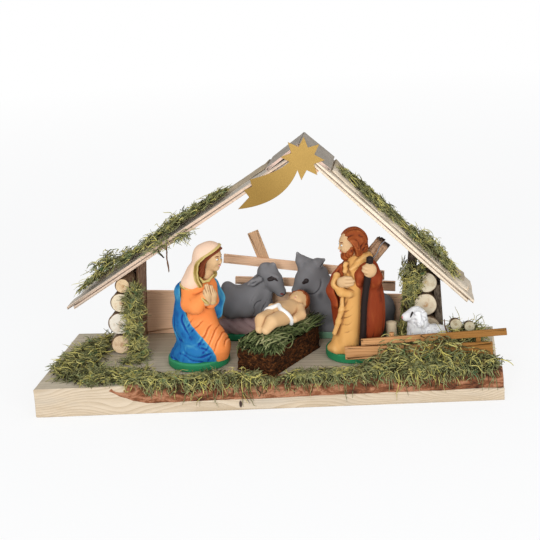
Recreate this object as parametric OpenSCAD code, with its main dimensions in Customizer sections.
// Small wooden nativity stable on a plank, with moss and painted figures.
// X runs to the right, Y to the back and Z up. The origin lies in the middle
// of the plank's underside. All lengths are millimetres.

/* [Plank] */
// Length of the plank
plank_l = 380; // [340:5:440]
// Depth of the plank at its left end
plank_d = 130; // [124:1:150]
// Thickness of the plank
plank_t = 25; // [20:1:30]
// How far the front edge runs back at the right end
front_taper = 25; // [10:1:30]
// Height of the sawn face under the bark
face_h = 11; // [8:0.5:14]
// How far the bark leans back to the top face
wane_set = 7; // [5:0.5:10]
// Thickness of the bark on the plank's front edge
bark_t = 2.5; // [1.5:0.5:3]

/* [Roof] */
// Distance of the ridge from the middle of the plank, to the right
ridge_x = 31.4; // [20:0.2:40]
// Height of the ridge's underside above the ground
ridge_z = 195.9; // [194:0.1:210]
// Pitch of the long left slope, in degrees
left_pitch = 32.1; // [31:0.1:33]
// Pitch of the short right slope, in degrees
right_pitch = 44.4; // [43:0.1:45]
// Length of the left slope's lower boards
left_len = 239; // [225:1:250]
// Length of the right slope's lower boards
right_len = 185; // [176:1:195]
// Thickness of one roof board
ply = 2.8; // [2:0.1:3.2]
// Front face of the roof boards, from the plank's middle line
roof_front = 5; // [2:0.5:8]
// Depth of the roof
roof_d = 54; // [52:1:58]
// Thickness of the bark slabs on the roof
slab_t = 3; // [2:0.5:4]
// Thickness of the two ridge caps
cap_t = 2.4; // [1.5:0.1:3]
// Height of the caps' apex above the ridge's underside
cap_rise = 14.6; // [13:0.1:17]

/* [Walls] */
// Inner face of the left wall at the plank, from the plank's middle
left_wall_x = -123.5; // [-128:0.5:-120]
// Inward lean of the left wall, in degrees
left_lean = 3.9; // [3:0.1:5]
// Thickness of the left inner slab
left_slab_t = 3.5; // [3:0.5:4.5]
// Radii of the left wall's logs, from the plank up
left_log_r = [8.8, 10, 8.8, 6.6];
// Front ends of the left wall's logs
left_log_front = 10; // [7:0.5:14]
// Inner face of the right wall at the plank, from the plank's middle
right_wall_x = 107; // [104:0.5:108]
// Outward lean of the right inner slab, in degrees
right_lean = 6.3; // [5:0.1:6.5]
// Thickness of the right inner slab
right_slab_t = 7.5; // [6:0.5:8]
// Radii of the right wall's logs, from the plank up
right_log_r = [11.2, 10.2, 9.4];
// Centres of the right wall's logs, from the plank's middle
right_log_x = [130.5, 128.7, 130];
// Front ends of the right wall's logs
right_log_front = 30; // [27:0.5:32]
// Back ends of both walls
wall_back = 60; // [59:0.5:61]

/* [Back fence] */
// Thickness of the back board and the two back rails
back_t = 3; // [2:0.2:3]
// Thickness of the slats that carry the back rails
slat_t = 2.4; // [1.6:0.2:3]
// Height of the back board above the plank at its left end
board_left_h = 41.5; // [36:0.5:42]
// Height of the back board above the plank at its right end
board_right_h = 32; // [26:0.5:33]

/* [Front fence] */
// Front face of the two fence rails
fence_y = -25.5; // [-30:0.5:-25]
// Thickness of the fence rails
rail_t = 3; // [2:0.2:4]
// Length of the lower rail
low_rail_l = 120; // [100:1:122]
// Height of the lower rail
low_rail_h = 11; // [8:0.5:11]
// Length of the upper rail
top_rail_l = 118; // [105:1:120]
// Height of the upper rail
top_rail_h = 5.5; // [4:0.5:7]

/* [Manger] */
// Length of the manger
manger_l = 73; // [66:1:74]
// Width of the manger
manger_w = 37; // [32:0.5:38]
// Height of the manger
manger_h = 20; // [16:0.5:22]
// Wall and floor thickness of the manger
manger_wall = 4; // [3:0.5:6]
// Turn of the manger's long side from the X axis, in degrees
manger_turn = 63.2; // [62:0.2:64]

/* [Comet star] */
// Radius of the star's points
star_r = 17.5; // [15:0.5:19]
// Radius of the notches between the points
star_notch_r = 10; // [8:0.5:12]
// Thickness of the sheet
star_t = 0.8; // [0.5:0.1:1.2]

/* [Figures] */
// Radius of the two standing figures' round bases
base_r = 25; // [22:0.5:25.5]
// Height of the round bases
base_h = 7; // [5:0.5:9]
// Radius of the kneeling figure's head
mary_head_r = 12.5; // [11:0.5:13.5]
// Radius of the standing figure's head
joseph_head_r = 12.5; // [11:0.5:13.5]
// Radius of the infant's head
infant_head_r = 8; // [6.5:0.5:8.5]
// Radius of the lying animals' bodies
beast_r = 11; // [9:0.5:11.5]
// Radius of the lamb's body
lamb_r = 10; // [8:0.5:10.5]
// Radius of the wooden staff
staff_r = 2; // [1.5:0.1:2.4]

/* [Hidden] */

fit = 0.2;            // clearance between pieces that touch
soft_fit = 0.4;       // clearance round the moss and the hay
top_z = plank_t;      // upper face of the plank
half_l = plank_l / 2;
half_d = plank_d / 2;
roof_back = roof_front + roof_d;
front_angle = atan2(front_taper, plank_l);
front_l = norm([plank_l, front_taper]);
// The front edge's place in Y, at a distance from the plank's middle.
function front_edge_y(x) = -half_d + (x + half_l) * tan(front_angle);
wane_start = 62;      // along the front edge, at the top face
wane_slant = 24;      // further on, at the sawn face
tilt_low = 1.1;       // degrees, lower fence rail
tilt_top = 3.5;       // degrees, upper fence rail
body_fn = 22;

raw_wood = [0.80, 0.68, 0.50];
grey_wood = [0.62, 0.57, 0.50];
red_wood = [0.72, 0.50, 0.33];
bark = [0.30, 0.19, 0.13];
moss = [0.38, 0.42, 0.20];
gold = [0.70, 0.52, 0.22];
skin = [0.82, 0.66, 0.45];
stone_grey = [0.40, 0.40, 0.42];

// ---- shared shapes ----

// A flat outline in the XZ plane, drawn out from y0 back to y1.
module xz_prism(y0, y1, points) {
    translate([0, y1, 0]) rotate([90, 0, 0]) linear_extrude(y1 - y0) polygon(points);
}

// A log that lies from front to back.
module log_y(x, z, r, y0, y1) {
    translate([x, y1, z]) rotate([90, 0, 0]) cylinder(r = r, h = y1 - y0, $fn = 48);
}

// A smooth body round two balls.
module limb(a, ra, b, rb) {
    hull() {
        translate(a) sphere(r = ra, $fn = body_fn);
        translate(b) sphere(r = rb, $fn = body_fn);
    }
}

// A straight round stick.
module stick(a, b, r) {
    d = b - a;
    translate(a) rotate([0, acos(d[2] / norm(d)), atan2(d[1], d[0])])
        cylinder(r = r, h = norm(d), $fn = 24);
}

// Points of a smooth curve that starts at a, heads for b and ends at c.
function curve(a, b, c, n) = [for (i = [0 : n]) let (t = i / n)
    (1 - t) * (1 - t) * a + 2 * t * (1 - t) * b + t * t * c];

// ---- plank ----

module plank_outline() {
    right_y = front_taper - half_d;
    polygon([[-half_l, -half_d], [half_l, right_y], [half_l - 4, right_y + 8],
        [half_l - 7, -5], [half_l - 6, 20], [half_l - 2, half_d], [-half_l, half_d]]);
}

// Shapes in the front edge's own frame: X along the edge, Y into the plank.
module on_front_edge() {
    translate([-half_l, -half_d, 0]) rotate([0, 0, front_angle]) children();
}

// Section of the wane, as [into the plank, up], at a depth under the bark.
function wane_line(depth) = concat([[depth, face_h]],
    [for (p = curve([0, face_h], [0.5, plank_t - 3], [wane_set, plank_t], 6))
        [p[0] + depth, p[1]]]);

module wane_section(depth) {
    polygon(concat([[-3, face_h], [-3, plank_t + 1]],
        [[wane_set + depth, plank_t + 1]],
        [for (i = [7 : -1 : 0]) wane_line(depth)[i]]));
}

// The cleared edge, slanted off at its left end.
module wane_body(depth) {
    difference() {
        translate([front_l + 5, 0, 0]) rotate([90, 0, -90])
            linear_extrude(front_l + 5 - wane_start) mirror([1, 0]) wane_section(depth);
        translate([0, -5, 0]) rotate([90, 0, 0]) mirror([0, 0, 1])
            linear_extrude(30) polygon([[wane_start - 1, plank_t + 2],
                [wane_start, plank_t], [wane_start + wane_slant, face_h],
                [wane_start + wane_slant, face_h - 1], [wane_start - 1, face_h - 1]]);
    }
}

module base_plank() {
    color(raw_wood) difference() {
        linear_extrude(plank_t) plank_outline();
        on_front_edge() wane_body(bark_t);
    }
}

module bark_edge() {
    color(bark) intersection() {
        linear_extrude(plank_t) plank_outline();
        on_front_edge() difference() {
            wane_body(bark_t);
            wane_body(0);
        }
    }
}

// ---- roof frame ----

// A point of the left (-1) or right (1) slope: u down the slope from the
// ridge, w out from the underside.
function pitch(side) = side < 0 ? left_pitch : right_pitch;
function on_slope(side, u, w) = [
    ridge_x + side * (u * cos(pitch(side)) + w * sin(pitch(side))),
    ridge_z - u * sin(pitch(side)) + w * cos(pitch(side))];

// A board on a slope. Its top end is cut upright at the ridge if u0 is 0.
module slope_board(side, u0, u1, w0, w1, y0, y1) {
    top0 = u0 > 0 ? u0 : -w0 * tan(pitch(side));
    top1 = u0 > 0 ? u0 : -w1 * tan(pitch(side));
    gap = side * fit / 2;
    inset = u0 > 0 ? [0, 0] : [gap, 0];
    xz_prism(y0, y1, [on_slope(side, top0, w0) + inset, on_slope(side, u1, w0),
        on_slope(side, u1, w1), on_slope(side, top1, w1) + inset]);
}

// Upper faces of the roof's layers, out from the underside.
layer1 = ply;
layer2 = 2 * ply;
layer3 = layer2 + fit / 2 + slab_t;
cap_left_u = 31;
cap_right_u = 24.8;
apex = [ridge_x + 1, ridge_z + cap_rise];

module left_roof_lower_board() {
    color(raw_wood) slope_board(-1, 0, left_len, 0, layer1, roof_front, roof_back);
}

module left_roof_upper_front_board() {
    color(raw_wood)
        slope_board(-1, 0, left_len + 5, layer1, layer2, roof_front, roof_front + 22);
}

module left_roof_upper_back_board() {
    color(grey_wood) slope_board(-1, 0, left_len + 1, layer1, layer2,
        roof_front + 22 + fit, roof_back);
}

module right_roof_lower_board() {
    color(raw_wood) slope_board(1, 0, right_len, 0, layer1, roof_front, roof_back);
}

module right_roof_upper_board() {
    color(raw_wood)
        slope_board(1, 0, right_len + 4, layer1, layer2, roof_front, roof_back);
}

// A live-edged slab on a slope, from a front edge that waves along it.
module live_slab(side, u0, u1, w0, thick, y_front, y_back, wave, turns) {
    steps = 24;
    edge = [for (i = [0 : steps]) let (t = i / steps)
        [u0 + (u1 - u0) * t, y_front + wave * sin(360 * turns * t)]];
    a = pitch(side);
    translate([ridge_x, 0, ridge_z]) mirror([side < 0 ? 1 : 0, 0, 0]) rotate([0, a, 0])
        translate([0, 0, w0]) linear_extrude(thick)
            polygon(concat(edge, [[u1 - 3, y_back], [u0, y_back]]));
}

module left_roof_bark_slab() {
    color(bark) live_slab(-1, cap_left_u + 2, left_len - 22, layer2 + fit / 2, slab_t,
        roof_front + 24, roof_back - 2, 2.4, 2.6);
}

module right_roof_strip() {
    color(grey_wood) live_slab(1, cap_right_u + 2, right_len - 6, layer2 + fit / 2, slab_t,
        roof_front + 7, roof_front + 25, 0.8, 2);
}

module right_roof_bark_slab() {
    color(bark) live_slab(1, cap_right_u + 2, right_len - 9, layer2 + fit / 2, slab_t,
        roof_front + 27.5, roof_back - 1, 1.4, 3);
}

// A ridge cap: from its lower end up to the shared apex.
module ridge_cap(side, u_end, y1) {
    seat = on_slope(side, u_end, layer2 + fit);
    top = apex + [side * fit / 2, 0];
    dir = (top - seat) / norm(top - seat);
    nrm = side < 0 ? [-dir[1], dir[0]] : [dir[1], -dir[0]];
    xz_prism(roof_front, y1, [seat, seat + cap_t * nrm, top,
        top - [0, cap_t / abs(dir[0])]]);
}

module ridge_cap_left() {
    color(grey_wood) ridge_cap(-1, cap_left_u, roof_back);
}

module ridge_cap_right() {
    color(grey_wood) ridge_cap(1, cap_right_u, roof_back - 1);
}

// The wedge under the ridge that both slopes are glued to.
module ridge_batten() {
    color(red_wood) xz_prism(roof_front, roof_back - 4, [
        on_slope(1, 0, -fit * 1.3), on_slope(1, 18.5, -fit), on_slope(1, 18.5, -1.6),
        on_slope(-1, 11, -2), on_slope(-1, 11, -fit)]);
}

// ---- comet star ----

star_pos = [ridge_x + 0.6, ridge_z - 1.7];
star_turn = -6;       // degrees
star_points = 8;

module star_outline() {
    step = 360 / star_points;
    polygon([for (i = [0 : star_points - 1], half = [0, 1])
        let (a = 90 + star_turn + step * (i + half / 2),
            r = half == 0 ? star_r : star_notch_r) r * [cos(a), sin(a)]]);
}

// The tail, as one curved sheet with three tips.
module tail_outline() {
    tip = [-56, -41];
    mid_tip = [-50, -25];
    near_tip = [-44.5, -16];
    polygon(concat(curve([-7, -3], [-18, -14], near_tip, 8),
        [[-43, -22], mid_tip, [-46, -31]],
        curve(tip, [-16, -38], [-4, -8], 12)));
}

module comet_star() {
    color(gold) translate([star_pos[0], roof_front, star_pos[1]]) rotate([90, 0, 0])
        linear_extrude(star_t) union() {
            star_outline();
            tail_outline();
        }
}

// ---- walls ----

module in_left_wall() {
    translate([left_wall_x, 0, top_z]) rotate([0, left_lean, 0]) children();
}

// Under the left slope, cut off with a clearance.
module below_roof(side, gap) {
    intersection() {
        children();
        xz_prism(-half_d, half_d + 10, [on_slope(side, 0, -gap), on_slope(side, 260, -gap),
            [side * half_l * 2, 0], [ridge_x, 0]]);
    }
}

module left_inner_slab() {
    color(bark) below_roof(-1, fit) difference() {
        in_left_wall() translate([-left_slab_t, 31, -2])
            cube([left_slab_t, wall_back - 31, 90]);
        translate([-half_l, 0, top_z + fit - 10]) cube([half_l, half_d, 10]);
    }
}

// Each log of the left wall rests on the one below and on the slab's back:
// a place is [out from the slab, up along it].
function left_place(i) = i == 0
    ? let (out = left_log_r[0] + fit)
        [out, (out - (left_slab_t + out) * sin(left_lean)) / cos(left_lean)]
    : let (low = left_place(i - 1), r = left_log_r[i], gap = r + left_log_r[i - 1] + fit,
        out = r + fit - low[0]) [r + fit, low[1] + sqrt(gap * gap - out * out)];

module left_log(i) {
    place = left_place(i);
    color(raw_wood) in_left_wall() log_y(-left_slab_t - place[0], place[1],
        left_log_r[i], left_log_front, wall_back);
}

// Each log of the right wall rests on the one below.
function right_place(i) = i == 0
    ? top_z + fit + right_log_r[0]
    : let (gap = right_log_r[i] + right_log_r[i - 1] + fit,
        side = right_log_x[i] - right_log_x[i - 1])
        right_place(i - 1) + sqrt(gap * gap - side * side);

module right_log(i) {
    color(raw_wood) log_y(right_log_x[i], right_place(i), right_log_r[i],
        right_log_front, wall_back);
}

module right_inner_slab() {
    color(bark) below_roof(1, fit) difference() {
        translate([right_wall_x, 0, top_z]) rotate([0, right_lean, 0])
            translate([0, right_log_front - 2, -2])
                cube([right_slab_t, wall_back - right_log_front + 2, 100]);
        translate([right_wall_x - 20, 0, top_z + fit - 10]) cube([60, half_d, 10]);
    }
}

// The thin outer slab leans on the two lower logs.
module right_outer_slab() {
    low = [right_log_x[0], right_place(0)];
    up = [right_log_x[1], right_place(1)];
    d = up - low;
    a = atan2(d[1], d[0]) - asin((right_log_r[0] - right_log_r[1]) / norm(d));
    out = [sin(a), -cos(a)];
    along = [cos(a), sin(a)];
    foot = low + (right_log_r[0] + fit) * out;
    t = 2;
    color(bark) intersection() {
        xz_prism(right_log_front + 5, wall_back - 2, [foot - 14 * along, foot + 38 * along,
            foot + 38 * along + t * out, foot - 14 * along + t * out]);
        translate([0, 0, top_z + fit]) cube([half_l, half_d, 80]);
    }
}

// The bark that packs the top right log against the roof.
module right_bark_wedge() {
    n = [sin(right_pitch), cos(right_pitch)];
    d = [cos(right_pitch), -sin(right_pitch)];
    seat = [right_log_x[2], right_place(2)] + (right_log_r[2] + fit) * n;
    roof_gap = (on_slope(1, 0, 0) - seat) * n - fit;
    color(bark) xz_prism(right_log_front + 1, wall_back - 3, [seat - 7 * d, seat + 10 * d,
        seat + 10 * d + roof_gap * n, seat - 7 * d + roof_gap * n]);
}

// ---- back fence ----

back_y = wall_back + fit;
slat_y = back_y + back_t + fit / 2;

module back_board() {
    color(red_wood) xz_prism(back_y, back_y + back_t, [[-127, top_z], [122, top_z],
        [122, top_z + board_right_h], [-127, top_z + board_left_h]]);
}

module back_rail_mid() {
    color(red_wood) xz_prism(back_y, back_y + back_t,
        [[-40, 70.6], [103, 60.5], [103.4, 69.6], [-39.5, 77.4]]);
}

module back_rail_top() {
    color(red_wood) xz_prism(back_y, back_y + back_t,
        [[-49.5, 90.4], [93.5, 71.2], [94, 79.5], [-48.5, 98.7]]);
}

module back_diagonal_slat() {
    color(red_wood) xz_prism(slat_y, slat_y + slat_t,
        [[-26.7, 116], [-17, 119.5], [11.5, 32], [2, 30]]);
}

module back_upright_slat() {
    color(red_wood) translate([72, slat_y, 30]) cube([9, slat_t, 54]);
}

// ---- front fence ----

low_rail_pos = [61.5, 30.6];
top_rail_pos = [75, 42.6];

module fence_rail(pos, l, h, tilt) {
    color(red_wood) translate([pos[0], fence_y, pos[1]]) rotate([0, -tilt, 0])
        cube([l, rail_t, h]);
}

module fence_rail_lower() {
    fence_rail(low_rail_pos, low_rail_l, low_rail_h, tilt_low);
}

module fence_rail_upper() {
    fence_rail(top_rail_pos, top_rail_l, top_rail_h, tilt_top);
}

stake_x = [98, 168];
stake_s = 4;
stake_y = fence_y + rail_t + fit;

module fence_stakes() {
    color(bark) for (x = stake_x)
        translate([x, stake_y, top_z]) cube([stake_s, stake_s, 27]);
}

module round_post() {
    color(raw_wood) translate([99, 21, top_z]) cylinder(r = 4.8, h = 22, $fn = 32);
}

heap_top = 45.5;      // top of the moss heap that carries the small logs

module small_log_1() {
    color(raw_wood) log_y(153, heap_top + 4.7 + soft_fit, 4.7, -4, 20);
}

module small_log_2() {
    color(raw_wood) log_y(163, heap_top + 4.3 + soft_fit, 4.3, -6, 16);
}

module small_twig() {
    color(bark) stick([146, -12, heap_top - 3.5], [143, -12, 60], 0.8);
}

// ---- manger ----

manger_x = 4.8;
manger_pos = [manger_x, front_edge_y(manger_x) + 6.6];

module in_manger() {
    translate([manger_pos[0], manger_pos[1], top_z]) rotate([0, 0, manger_turn]) children();
}

module manger() {
    color(bark) in_manger() difference() {
        cube([manger_l, manger_w, manger_h]);
        translate([manger_wall, manger_wall, manger_wall])
            cube([manger_l - 2 * manger_wall, manger_w - 2 * manger_wall, manger_h]);
    }
}

hay_top = 12;         // height of the hay above the manger's rim

module manger_hay() {
    in_l = manger_l - 2 * manger_wall - 2 * soft_fit;
    in_w = manger_w - 2 * manger_wall - 2 * soft_fit;
    half = manger_w / 2 - 1.5;
    color(moss) in_manger() union() {
        translate([manger_wall + soft_fit, manger_wall + soft_fit, manger_wall + soft_fit])
            cube([in_l, in_w, manger_h - manger_wall]);
        translate([-4, manger_w / 2, manger_h + soft_fit]) rotate([90, 0, 90])
            linear_extrude(manger_l + 6) polygon([for (i = [0 : 12])
                [half * cos(15 * i), hay_top * sin(15 * i)]]);
    }
}

// ---- figures ----

lie_z = top_z + manger_h + hay_top + 2 * soft_fit;

module infant() {
    color(skin) in_manger() translate([0, manger_w / 2, lie_z - top_z]) union() {
        translate([54, 0, infant_head_r + 4]) sphere(r = infant_head_r, $fn = body_fn);
        limb([44, 0, 7.5], 7, [26, 0, 8], 8);
        limb([26, 5, 7], 6, [10, 5, 8], 4.5);
        limb([26, -5, 7], 6, [10, -5, 8], 4.5);
        limb([42, 8, 7], 3.2, [31, 9, 11], 3);
        limb([42, -8, 7], 3.2, [31, -9, 11], 3);
    }
}

mary_x = -63;
mary_pos = [mary_x, front_edge_y(mary_x) + 47.6, top_z];
mary_base_r = base_r + 1;

module mary() {
    color([0.12, 0.40, 0.66]) translate(mary_pos) union() {
        cylinder(r = mary_base_r, h = base_h, $fn = 64);
        hull() {
            translate([-13, 0, 14]) sphere(r = 11, $fn = body_fn);
            translate([14, 2, 15]) sphere(r = 11, $fn = body_fn);
            translate([-6, 0, 42]) sphere(r = 14, $fn = body_fn);
        }
        limb([-6, 0, 42], 14, [1, 0, 70], 11);
        translate([9, 0, 90]) sphere(r = mary_head_r, $fn = body_fn);
        limb([2, 2, 92], 12, [-7, 2, 68], 9);
        limb([-2, -12, 64], 6.5, [1, -14, 47], 5.5);
        limb([1, -14, 47], 5.5, [13, -5, 62], 4);
    }
}

joseph_pos = [68.5, 4, top_z];
joseph_chest = [8, 0, 76];
joseph_chest_r = 12;
staff_foot = [6.4, -17.5, base_h + soft_fit];
staff_head = [14.5, -17.5, 90];

// Room for the staff through the fist and down the robe.
module staff_room() {
    stick(staff_foot - [0, 0, 1], staff_head, staff_r + fit);
}

module joseph() {
    color([0.50, 0.20, 0.10]) translate(joseph_pos) difference() {
        union() {
            cylinder(r = base_r, h = base_h, $fn = 64);
            hull() {
                translate([-10, 0, 12]) sphere(r = 11, $fn = body_fn);
                translate([15, 0, 12]) sphere(r = 12, $fn = body_fn);
                translate([0, 0, 56]) sphere(r = 15, $fn = body_fn);
                translate([13, 0, 44]) sphere(r = 14, $fn = body_fn);
            }
            hull() {
                translate([0, 0, 56]) sphere(r = 15, $fn = body_fn);
                translate([13, 0, 44]) sphere(r = 14, $fn = body_fn);
                translate(joseph_chest) sphere(r = joseph_chest_r, $fn = body_fn);
            }
            translate([3, 0, 97]) sphere(r = joseph_head_r, $fn = body_fn);
            limb([4, 1, 92], 10, [6, 1, 76], 9);
            limb([17, -3, 74], 7, [18, -8, 58], 6);
            limb([18, -8, 60], 5, [15, -14, 76], 5.5);
            limb([-9, -10, 56], 6, [3, -13, 61], 4.5);
        }
        staff_room();
    }
}

module joseph_staff() {
    color([0.12, 0.08, 0.07]) translate(joseph_pos) stick(staff_foot, staff_head, staff_r);
}

module joseph_wood_bundle() {
    color(grey_wood) translate(joseph_pos) difference() {
        translate([16.3, 10, 79]) rotate([0, 39.7, 0]) union() {
            for (i = [0 : 5]) rotate([0, 0, 60 * i]) translate([4, 0, 0])
                cylinder(r = 2.8, h = 18 + 1.2 * (i % 3), $fn = 20);
            cylinder(r = 3.4, h = 19, $fn = 20);
        }
        translate(joseph_chest) sphere(r = joseph_chest_r + fit, $fn = 48);
    }
}

ox_y = 48;
beast_floor = 3.5;    // height of the animals' flat bases

module ox() {
    color(stone_grey) translate([0, ox_y, top_z]) union() {
        translate([-54, -beast_r, 0]) cube([52, 2 * beast_r, beast_floor]);
        limb([-40, 0, 20], beast_r, [-20, 0, 21], beast_r);
        limb([-38, 0, 40], beast_r + 1, [-22, 0, 40], beast_r);
        limb([-40, 0, 12], 9, [-16, 0, 11], 8);
        limb([-23, 0, 42], 10, [-10, -2, 60], 8.5);
        limb([-10, -2, 60], 9.5, [1, -3, 48], 6);
        stick([-11, -8, 64], [-20, -11, 62], 2);
    }
}

donkey_y = 49;

module donkey() {
    color(stone_grey) translate([0, donkey_y, top_z]) union() {
        translate([17, -8.5, 0]) cube([85, 8.5 + beast_r, beast_floor]);
        limb([34, 0, 12], 9, [92, 0, 12], 9);
        limb([42, 0, 25], beast_r, [92, 0, 24], beast_r);
        limb([36, -1, 26], beast_r - 1, [36, -2, 50], 9.5);
        limb([31, -2, 54], 9.5, [22, -6, 43], 5.5);
        limb([23, -3, 58], 4.5, [20, -1, 74], 2.5);
        limb([36, -2, 58], 4.5, [42, -1, 70], 2.5);
    }
}

lamb_y = 4;

module lamb() {
    color("white") translate([0, lamb_y, top_z]) union() {
        limb([120, 0, 8.5], 8.5, [137, 0, 8.5], 8.5);
        limb([121, 0, 17], lamb_r, [137, 0, 13], lamb_r - 1);
        limb([121, 0, 18], 8.5, [121, -1, 32], 8);
        limb([121, -1, 33], 7.5, [112, -1, 31.5], 3.6);
    }
}

// ---- moss ----

// A pad of moss on a slope: heights above the slope's underside along u.
module slope_moss(side, y0, y1, floor_w, tops) {
    n = len(tops) - 1;
    xz_prism(y0, y1, concat([for (t = tops) on_slope(side, t[0], t[1])],
        [on_slope(side, tops[n][0], floor_w), on_slope(side, tops[0][0], floor_w)]));
}

module moss_left_roof() {
    w = layer3 + soft_fit;
    color(moss) slope_moss(-1, roof_front + 17, roof_back - 6, w,
        [[62, w + 1.5], [80, w + 3], [120, w + 4], [160, w + 4.5], [186, w + 6],
         [194, w + 13], [206, w + 13], [212, w + 5], [left_len - 26, w + 3]]);
}

module moss_right_roof() {
    w = layer3 + soft_fit;
    color(moss) slope_moss(1, roof_front + 10, roof_back - 8, w,
        [[34, w + 1.5], [60, w + 4], [92, w + 3], [112, w + 6], [130, w + 9],
         [146, w + 8], [158, w + 3], [right_len - 18, w + 1.5]]);
}

module moss_left_wall() {
    color(moss) in_left_wall() translate([0.8 * soft_fit, 24, 14])
        linear_extrude(50) polygon([[0, 8], [6, 9], [4, 22], [0, 26]]);
}

module moss_right_wall() {
    color(moss) translate([right_wall_x, 0, top_z]) rotate([0, right_lean, 0])
        translate([-soft_fit, 0, 12]) linear_extrude(58)
            polygon([[0, 29], [-4, 30], [-6, 38], [-3, 46], [0, 48]]);
}

module moss_base_left() {
    color(moss) translate([0, 0, top_z + soft_fit]) linear_extrude(6)
        polygon([[-half_l + 6, -34], [-150, -54], [-116, -46], [-94, -34], [-98, 2],
            [-112, 8], [-148.5, 9], [-149.5, 44], [-half_l + 6, 50]]);
}

// The moss along the front edge, clear of what stands behind it.
module moss_front() {
    color(moss) difference() {
        on_front_edge() translate([0, 0, top_z + soft_fit]) linear_extrude(5)
            polygon([[78, 2], [front_l - 8, 2], [front_l - 8, 13], [252, 20.5],
                [214, 12], [176, 13], [156, 20], [96, 20]]);
        translate(mary_pos) cylinder(r = mary_base_r + soft_fit, h = 10, $fn = 64);
        in_manger() translate([-soft_fit, -soft_fit, 0])
            cube([manger_l + 2 * soft_fit, manger_w + 2 * soft_fit, 10]);
    }
}

// The heap of moss behind the front fence, up to the lamb.
module moss_fence() {
    y0 = stake_y + stake_s + soft_fit;
    color(moss) union() {
        translate([stake_x[0] + 1, y0, top_z + soft_fit])
            cube([stake_x[1] - stake_x[0] + 4, -6.5 - y0, 16]);
        translate([147.5, y0, top_z + soft_fit])
            cube([26, 21 - y0, heap_top - top_z - soft_fit]);
    }
}

base_plank();
bark_edge();
back_board();
back_rail_mid();
back_rail_top();
back_diagonal_slat();
back_upright_slat();
left_inner_slab();
left_log(0);  // left_log_1
left_log(1);  // left_log_2
left_log(2);  // left_log_3
left_log(3);  // left_log_4
right_inner_slab();
right_outer_slab();
right_log(0);  // right_log_1
right_log(1);  // right_log_2
right_log(2);  // right_log_3
right_bark_wedge();
ridge_batten();
left_roof_lower_board();
left_roof_upper_front_board();
left_roof_upper_back_board();
left_roof_bark_slab();
right_roof_lower_board();
right_roof_upper_board();
right_roof_strip();
right_roof_bark_slab();
ridge_cap_left();
ridge_cap_right();
comet_star();
fence_rail_lower();
fence_rail_upper();
fence_stakes();
round_post();
small_log_1();
small_log_2();
small_twig();
manger();
manger_hay();
infant();
mary();
joseph();
joseph_staff();
joseph_wood_bundle();
ox();
donkey();
lamb();
moss_left_roof();
moss_right_roof();
moss_left_wall();
moss_right_wall();
moss_base_left();
moss_front();
moss_fence();
